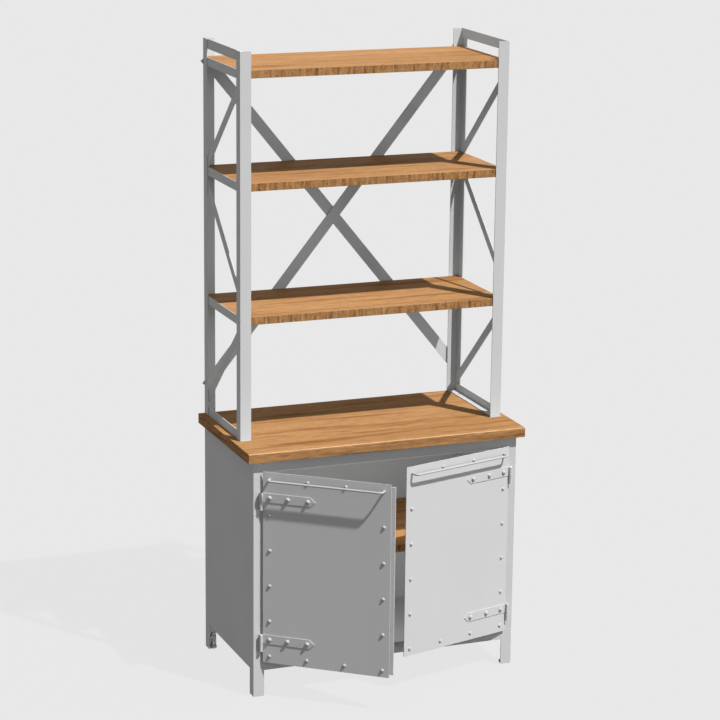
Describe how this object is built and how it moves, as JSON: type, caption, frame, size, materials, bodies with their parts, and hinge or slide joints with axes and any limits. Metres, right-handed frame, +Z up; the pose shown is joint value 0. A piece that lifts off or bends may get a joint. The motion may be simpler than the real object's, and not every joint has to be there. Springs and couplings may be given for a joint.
{
  "type": "sideboard buffet",
  "caption": "Tall buffet in painted angle iron and wood: hinged riveted steel doors below a wood worktop, with an open shelf hutch, crossed back braces and side braces above.",
  "frame": {"origin": "on the floor, midway between the four legs", "axes": "+Z up, -Y towards the front with the doors, +X to the right as seen from the front"},
  "size_m": [1.05, 0.8674, 2.275],
  "materials": {
    "frame_steel": "satin",
    "panel_steel": "satin",
    "door_steel": "satin",
    "handle_steel": "satin",
    "hinge_steel": "satin",
    "fastener_steel": "satin",
    "foot_steel": "satin",
    "catch_plastic": "matte",
    "worktop_wood": "oiled",
    "shelf_wood": "oiled"
  },
  "bodies": {
    "buffet": {"front_left_leg": "frame_steel", "front_right_leg": "frame_steel", "rear_left_leg": "frame_steel", "rear_right_leg": "frame_steel", "front_top_rail": "frame_steel", "front_bottom_rail": "frame_steel", "rear_top_rail": "frame_steel", "rear_bottom_rail": "frame_steel", "left_bottom_rail": "frame_steel", "right_bottom_rail": "frame_steel", "left_side_panel": "panel_steel", "right_side_panel": "panel_steel", "back_panel": "panel_steel", "floor_panel": "panel_steel", "inner_shelf": "shelf_wood", "left_shelf_ledge": "frame_steel", "right_shelf_ledge": "frame_steel", "worktop": "worktop_wood", "levelling_feet": "foot_steel", "foot_plates": "frame_steel", "foot_lock_nuts": "fastener_steel", "wood_screws": "fastener_steel", "door_catches": "catch_plastic", "left_hinge_leaves": "hinge_steel", "right_hinge_leaves": "hinge_steel", "left_hinge_pins": "fastener_steel", "right_hinge_pins": "fastener_steel", "front_left_post": "frame_steel", "front_right_post": "frame_steel", "rear_left_post": "frame_steel", "rear_right_post": "frame_steel", "left_top_bar": "frame_steel", "right_top_bar": "frame_steel", "left_side_rails": "frame_steel", "right_side_rails": "frame_steel", "left_side_braces": "frame_steel", "right_side_braces": "frame_steel", "back_brace_rising": "frame_steel", "back_brace_falling": "frame_steel", "brace_bolts": "fastener_steel", "upper_shelf": "shelf_wood", "middle_shelf": "shelf_wood", "lower_shelf": "shelf_wood"},
    "left_door": {"left_door_plate": "door_steel", "left_door_frame": "door_steel", "left_door_handle": "handle_steel", "left_strap_hinges": "hinge_steel", "left_door_rivets": "fastener_steel", "left_hinge_bolts": "fastener_steel", "left_door_strike": "fastener_steel", "left_meeting_strip": "door_steel"},
    "right_door": {"right_door_plate": "door_steel", "right_door_frame": "door_steel", "right_door_handle": "handle_steel", "right_strap_hinges": "hinge_steel", "right_door_rivets": "fastener_steel", "right_hinge_bolts": "fastener_steel", "right_door_strike": "fastener_steel"}
  },
  "joints": [
    {"name": "left_door_hinge", "type": "hinge", "parent": "buffet", "child": "left_door", "pos_m": [-0.476, -0.2845, 0.4815], "axis": [0, 0, -1], "range_deg": [-39.2, 120.8]},
    {"name": "right_door_hinge", "type": "hinge", "parent": "buffet", "child": "right_door", "pos_m": [0.476, -0.2845, 0.4815], "axis": [0, 0, 1], "range_deg": [-15.5, 144.5]}
  ]
}
